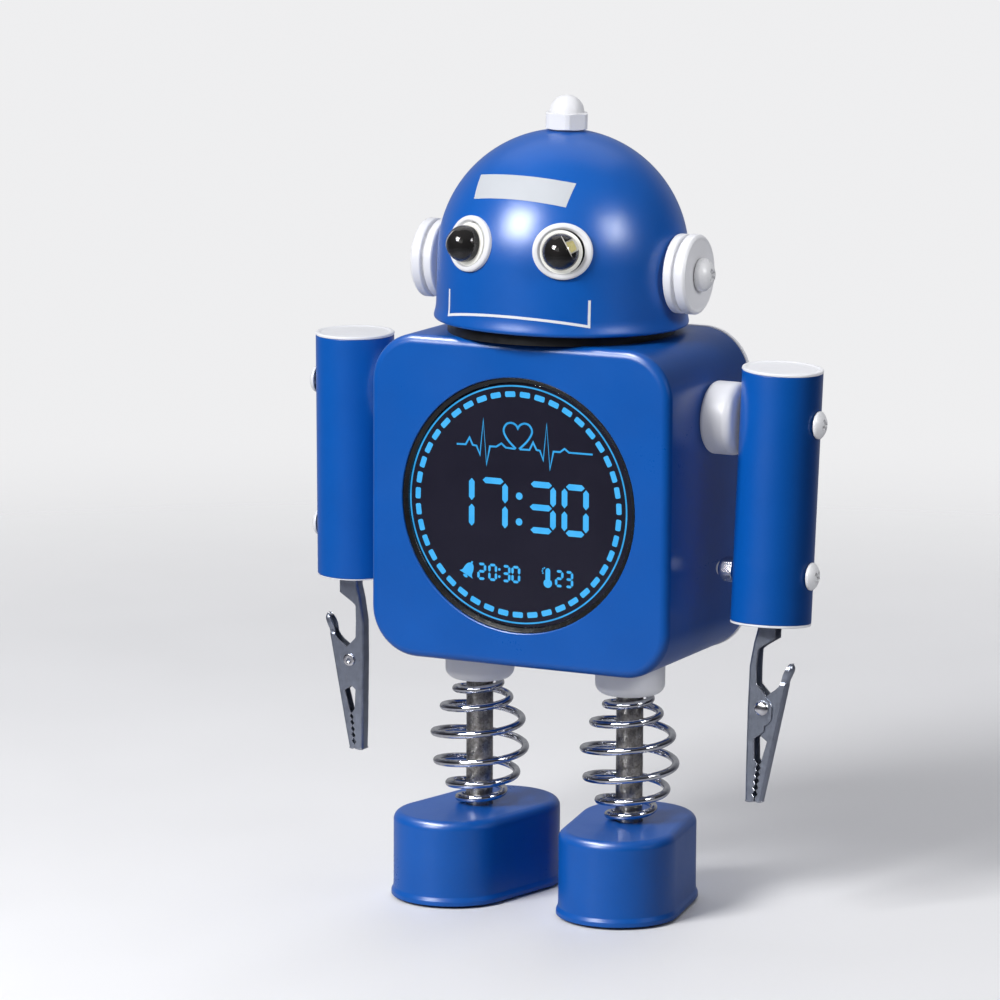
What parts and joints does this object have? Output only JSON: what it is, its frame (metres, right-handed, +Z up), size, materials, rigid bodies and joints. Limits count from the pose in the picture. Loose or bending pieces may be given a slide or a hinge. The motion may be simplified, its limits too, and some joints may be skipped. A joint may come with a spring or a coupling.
{
  "type": "toy robot desk clock",
  "caption": "Desk alarm clock in the form of a retro toy robot: square case with a round display, turning domed head, swinging arms with alligator clips, sprung legs, swivelling feet.",
  "frame": {"origin": "on the floor under the robot, at the middle of its bounding box", "axes": "+Z up, the robot faces -Y, its own left side is +X"},
  "size_m": [0.1736, 0.0806, 0.249],
  "materials": {
    "blue_paint": "satin enamel on sheet steel",
    "white_plastic": "moulded, semi-gloss",
    "white_paint": "white enamel, semi-gloss",
    "black_plastic": "moulded, fine grain",
    "clear_window": "clear acrylic, polished",
    "display": "dark negative LCD with light blue segments",
    "circuit_board": "green solder resist",
    "cell_wrap": "printed wrap",
    "blue_plastic": "moulded, semi-gloss",
    "chrome": "bright plated",
    "raw_steel": "mottled zinc plate",
    "nickel_steel": "stamped, nickel plated",
    "smoked_lens": "smoked, polished"
  },
  "bodies": {
    "case": {"front_shell": "blue_paint", "back_cover": "white_plastic", "cover_screws": "raw_steel", "display_bezel": "black_plastic", "display_window": "clear_window", "display_panel": "display", "main_board": "circuit_board", "button_board": "circuit_board", "buzzer": "black_plastic", "battery_cells": "cell_wrap", "battery_contacts": "nickel_steel", "neck_collar": "black_plastic", "neck_stud": "raw_steel", "m8_nuts": "raw_steel", "acorn_nut": "white_paint", "shoulder_bosses": "white_paint", "shoulder_screws": "white_paint", "shoulder_nuts": "raw_steel", "leg_cups": "white_paint", "leg_posts": "raw_steel", "leg_springs": "chrome"},
    "door": {"battery_door": "white_plastic"},
    "key_mode": {"button_mode": "blue_plastic"},
    "key_set": {"button_set": "blue_plastic"},
    "key_up": {"button_up": "blue_plastic"},
    "key_alarm": {"button_alarm": "blue_plastic"},
    "head": {"head_shell": "blue_paint", "head_base_plate": "black_plastic", "eye_bezel_left": "white_plastic", "eye_bezel_right": "white_plastic", "eye_lens_left": "smoked_lens", "eye_lens_right": "smoked_lens", "eye_led_left": "circuit_board", "eye_led_right": "circuit_board", "ear_disc_left": "white_paint", "ear_disc_right": "white_paint", "ear_screws": "white_paint"},
    "arm_left": {"arm_tube_left": "blue_paint", "arm_top_cap_left": "white_plastic", "arm_bottom_cap_left": "white_plastic", "clip_screw_left": "white_paint", "clip_locknut_left": "chrome", "clip_jaw_left": "nickel_steel", "clip_rivet_left": "nickel_steel", "clip_spring_left": "nickel_steel"},
    "arm_right": {"arm_tube_right": "blue_paint", "arm_top_cap_right": "white_plastic", "arm_bottom_cap_right": "white_plastic", "clip_screw_right": "white_paint", "clip_locknut_right": "chrome", "clip_jaw_right": "nickel_steel", "clip_rivet_right": "nickel_steel", "clip_spring_right": "nickel_steel"},
    "lever_left": {"clip_lever_left": "nickel_steel"},
    "lever_right": {"clip_lever_right": "nickel_steel"},
    "foot_left": {"foot_left": "blue_paint", "foot_pad_left": "black_plastic"},
    "foot_right": {"foot_right": "blue_paint", "foot_pad_right": "black_plastic"}
  },
  "joints": [
    {"name": "head_turn", "type": "hinge", "parent": "case", "child": "head", "pos_m": [0, 0.00152, 0.19], "axis": [0, 0, 1], "range_deg": [-92, 88]},
    {"name": "arm_swing_left", "type": "hinge", "parent": "case", "child": "arm_left", "pos_m": [0.072, 0.00382, 0.1532], "axis": [1, 0, 0], "continuous": true},
    {"name": "arm_swing_right", "type": "hinge", "parent": "case", "child": "arm_right", "pos_m": [-0.072, 0.00382, 0.1532], "axis": [1, 0, 0], "continuous": true},
    {"name": "clip_open_left", "type": "hinge", "parent": "arm_left", "child": "lever_left", "pos_m": [0.0714, -0.00371, 0.06713], "axis": [0, -0.9962, 0.0872], "range_deg": [0, 24], "stiffness_Nm_per_rad": 0.05, "springref_deg": -20.05, "deforming": ["clip_spring_left"]},
    {"name": "clip_open_right", "type": "hinge", "parent": "arm_right", "child": "lever_right", "pos_m": [-0.0736, 0.00533, 0.06681], "axis": [0, 0.9998, 0.0175], "range_deg": [0, 24], "stiffness_Nm_per_rad": 0.05, "springref_deg": -20.05, "deforming": ["clip_spring_right"]},
    {"name": "foot_swivel_left", "type": "hinge", "parent": "case", "child": "foot_left", "pos_m": [0.0256, -0.00148, 0.02], "axis": [0, 0, 1], "range_deg": [-37, 16]},
    {"name": "foot_swivel_right", "type": "hinge", "parent": "case", "child": "foot_right", "pos_m": [-0.0256, -0.00148, 0.02], "axis": [0, 0, 1], "range_deg": [-14, 39]},
    {"name": "battery_door_off", "type": "slide", "parent": "case", "child": "door", "axis": [0, 1, 0], "range_m": [0, 0.03]},
    {"name": "press_mode", "type": "slide", "parent": "case", "child": "key_mode", "axis": [0, -1, 0], "range_m": [0, 0.0008], "stiffness_N_per_m": 400, "springref_m": -0.0004},
    {"name": "press_set", "type": "slide", "parent": "case", "child": "key_set", "axis": [0, -1, 0], "range_m": [0, 0.0008], "stiffness_N_per_m": 400, "springref_m": -0.0004},
    {"name": "press_up", "type": "slide", "parent": "case", "child": "key_up", "axis": [0, -1, 0], "range_m": [0, 0.0008], "stiffness_N_per_m": 400, "springref_m": -0.0004},
    {"name": "press_alarm", "type": "slide", "parent": "case", "child": "key_alarm", "axis": [0, -1, 0], "range_m": [0, 0.0008], "stiffness_N_per_m": 400, "springref_m": -0.0004}
  ]
}
